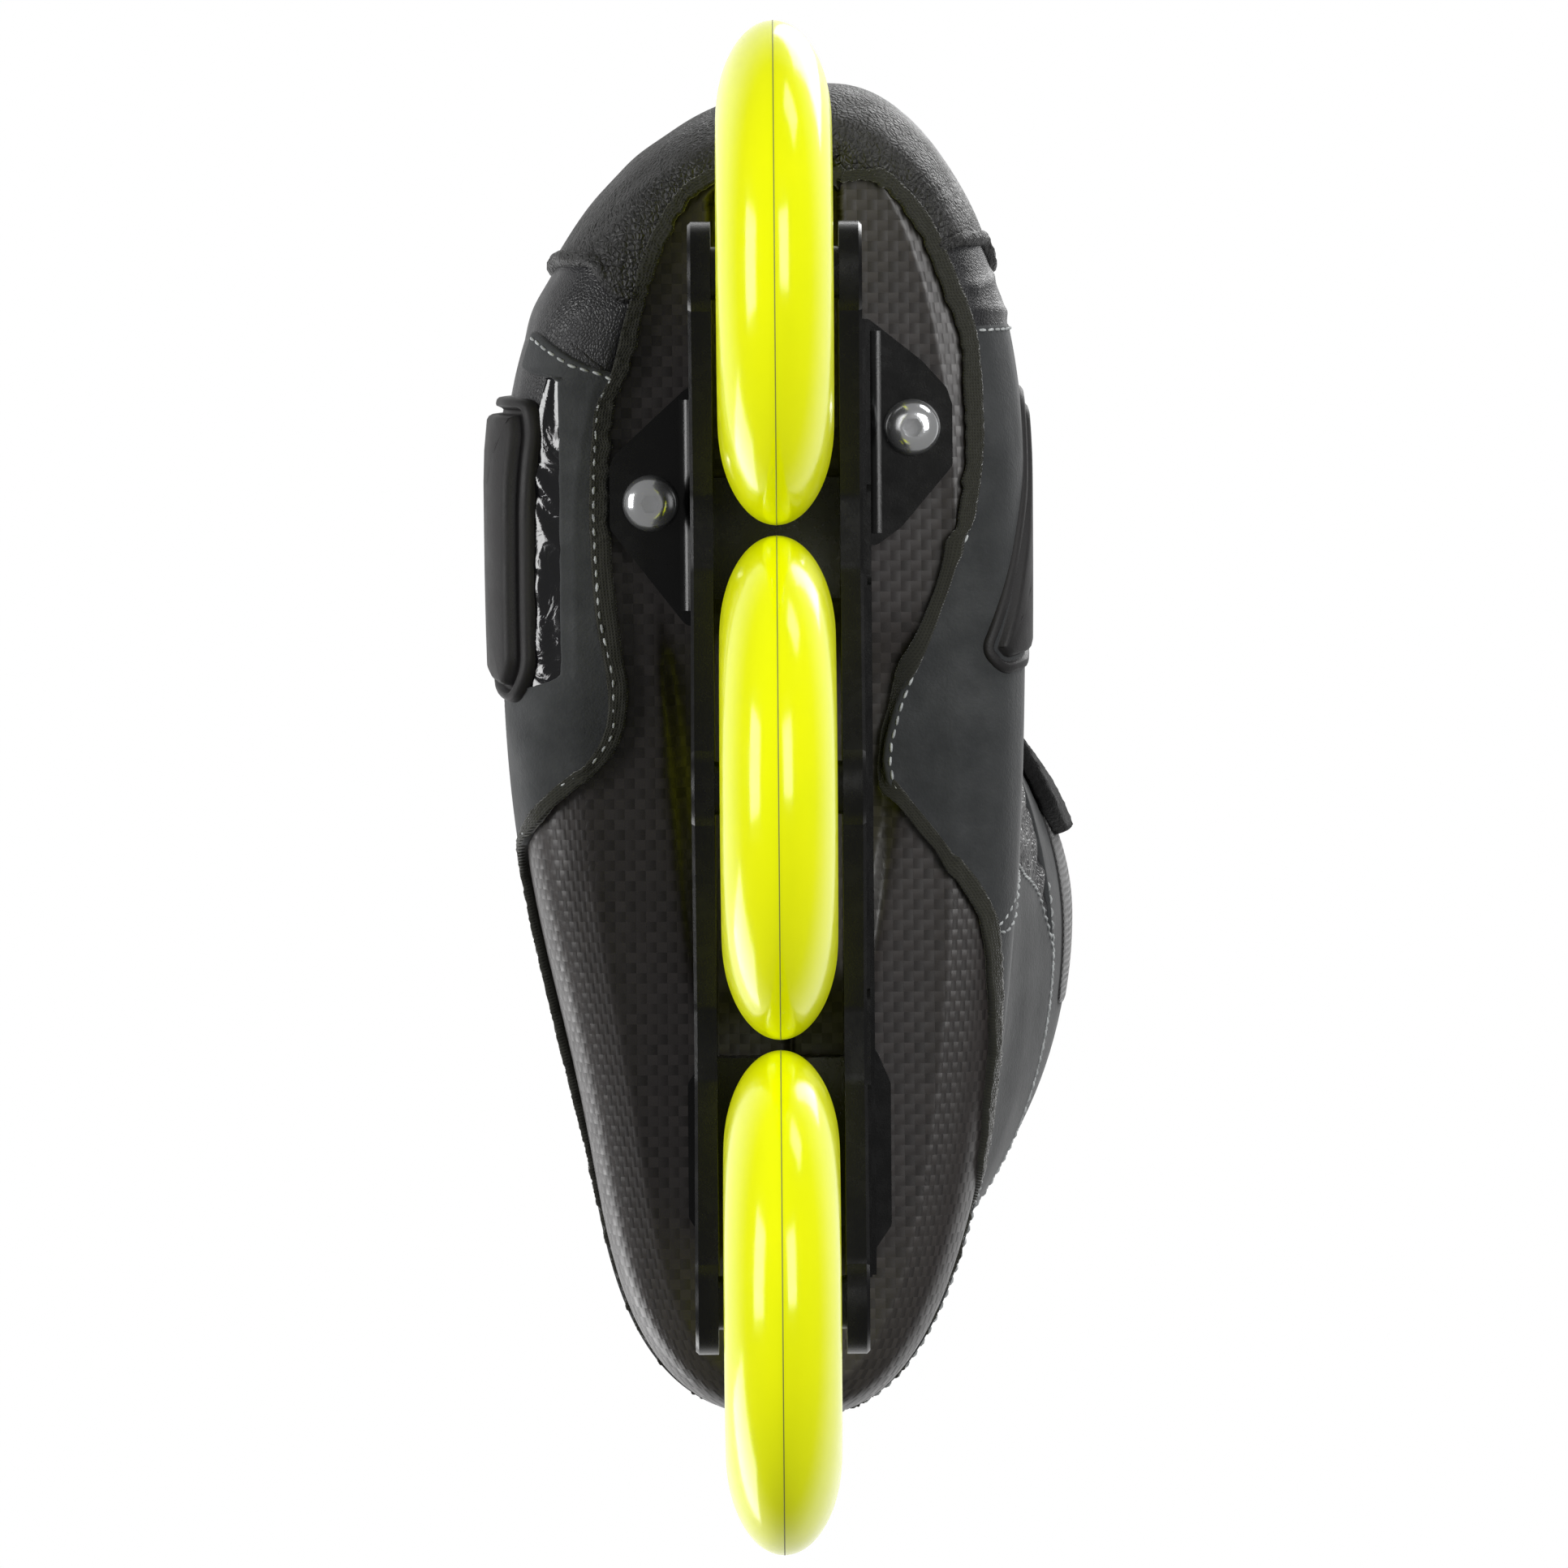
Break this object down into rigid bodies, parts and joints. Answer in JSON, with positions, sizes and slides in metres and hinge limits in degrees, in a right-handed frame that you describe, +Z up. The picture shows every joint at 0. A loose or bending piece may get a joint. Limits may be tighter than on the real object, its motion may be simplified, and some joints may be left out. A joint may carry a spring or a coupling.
{
  "type": "inline skate",
  "caption": "Right-foot inline skate: carbon-soled laced boot with ankle strap on a low aluminium frame, with large in-line wheels turning on ball bearings.",
  "frame": {"origin": "on the ground under the middle wheel's axle, in the middle plane of the wheels", "axes": "+Z up, +Y from toe to heel along the row of wheels, +X to the medial side (inner side of a right foot), axles along X"},
  "size_m": [0.1403, 0.3346, 0.3078],
  "materials": {
    "tyre": "glossy cast urethane, neon yellow",
    "wheel_core": "moulded nylon, off-white",
    "bearing_steel": "ground bearing steel",
    "shield_steel": "pressed steel shield",
    "cage_nylon": "moulded nylon cage",
    "spacer_aluminium": "turned, bare",
    "axle_steel": "dark zinc plated steel",
    "frame_aluminium": "machined aluminium, black anodised",
    "zinc_steel": "bright zinc plated",
    "carbon_fibre": "carbon weave under satin lacquer",
    "grained_leather": "wrinkled grain, semi-gloss",
    "smooth_leather": "smooth, satin",
    "nubuck": "slate grey nubuck",
    "padded_mesh": "ribbed padded mesh",
    "lining_fabric": "knitted lining",
    "collar_fabric": "padded knit",
    "insole_fabric": "fabric-faced foam",
    "pad_rubber": "moulded abrasion rubber, matt",
    "patent": "patent, high gloss",
    "strap_fleece": "brushed loop pile",
    "hook_tape": "woven hook tape",
    "webbing": "woven webbing",
    "eyelet_metal": "black enamelled brass",
    "lace_cord": "waxed round lace"
  },
  "bodies": {
    "root": {"front_bearing_inner_rings": "bearing_steel", "front_bearing_spacer": "spacer_aluminium", "front_axle": "axle_steel", "middle_bearing_inner_rings": "bearing_steel", "middle_bearing_spacer": "spacer_aluminium", "middle_axle": "axle_steel", "rear_bearing_inner_rings": "bearing_steel", "rear_bearing_spacer": "spacer_aluminium", "rear_axle": "axle_steel", "frame": "frame_aluminium", "front_mount_bolts": "zinc_steel", "rear_mount_bolt": "zinc_steel", "sole_inserts": "spacer_aluminium", "carbon_shell": "carbon_fibre", "toe_cap": "grained_leather", "vamp": "smooth_leather", "lateral_quarter": "nubuck", "medial_quarter": "nubuck", "heel_panel": "nubuck", "ankle_cuff": "nubuck", "tongue": "padded_mesh", "lining": "lining_fabric", "collar_padding": "collar_fabric", "insole": "insole_fabric", "lateral_pad": "pad_rubber", "medial_pad": "pad_rubber", "patent_insert": "patent", "strap_catch": "hook_tape", "pull_loop": "webbing", "eyelets": "eyelet_metal", "lace": "lace_cord"},
    "front_wheel": {"front_wheel_tyre": "tyre", "front_wheel_core": "wheel_core", "front_bearing_outer_rings": "bearing_steel", "front_bearing_shields": "shield_steel"},
    "front_cages": {"front_bearing_balls": "bearing_steel", "front_bearing_cages": "cage_nylon"},
    "middle_wheel": {"middle_wheel_tyre": "tyre", "middle_wheel_core": "wheel_core", "middle_bearing_outer_rings": "bearing_steel", "middle_bearing_shields": "shield_steel"},
    "middle_cages": {"middle_bearing_balls": "bearing_steel", "middle_bearing_cages": "cage_nylon"},
    "rear_wheel": {"rear_wheel_tyre": "tyre", "rear_wheel_core": "wheel_core", "rear_bearing_outer_rings": "bearing_steel", "rear_bearing_shields": "shield_steel"},
    "rear_cages": {"rear_bearing_balls": "bearing_steel", "rear_bearing_cages": "cage_nylon"},
    "ankle_strap": {"ankle_strap": "strap_fleece"}
  },
  "joints": [
    {"name": "front_wheel_spin", "type": "hinge", "parent": "root", "child": "front_wheel", "pos_m": [0, -0.1123, 0.055], "axis": [1, 0, 0], "continuous": true},
    {"name": "front_cages_spin", "type": "hinge", "parent": "root", "child": "front_cages", "pos_m": [0, -0.1123, 0.055], "axis": [1, 0, 0], "continuous": true},
    {"name": "middle_wheel_spin", "type": "hinge", "parent": "root", "child": "middle_wheel", "pos_m": [0, 0, 0.055], "axis": [1, 0, 0], "continuous": true},
    {"name": "middle_cages_spin", "type": "hinge", "parent": "root", "child": "middle_cages", "pos_m": [0, 0, 0.055], "axis": [1, 0, 0], "continuous": true},
    {"name": "rear_wheel_spin", "type": "hinge", "parent": "root", "child": "rear_wheel", "pos_m": [0, 0.1123, 0.055], "axis": [1, 0, 0], "continuous": true},
    {"name": "rear_cages_spin", "type": "hinge", "parent": "root", "child": "rear_cages", "pos_m": [0, 0.1123, 0.055], "axis": [1, 0, 0], "continuous": true},
    {"name": "ankle_strap_peel", "type": "hinge", "parent": "root", "child": "ankle_strap", "pos_m": [-0.0515, -0.00293, 0.2501], "axis": [0, 0.0637, -0.998], "range_deg": [0, 90]}
  ],
  "couplings": [
    {"joint": "front_cages_spin", "follows": "front_wheel_spin", "ratio": 0.63},
    {"joint": "middle_cages_spin", "follows": "middle_wheel_spin", "ratio": 0.63},
    {"joint": "rear_cages_spin", "follows": "rear_wheel_spin", "ratio": 0.63}
  ]
}
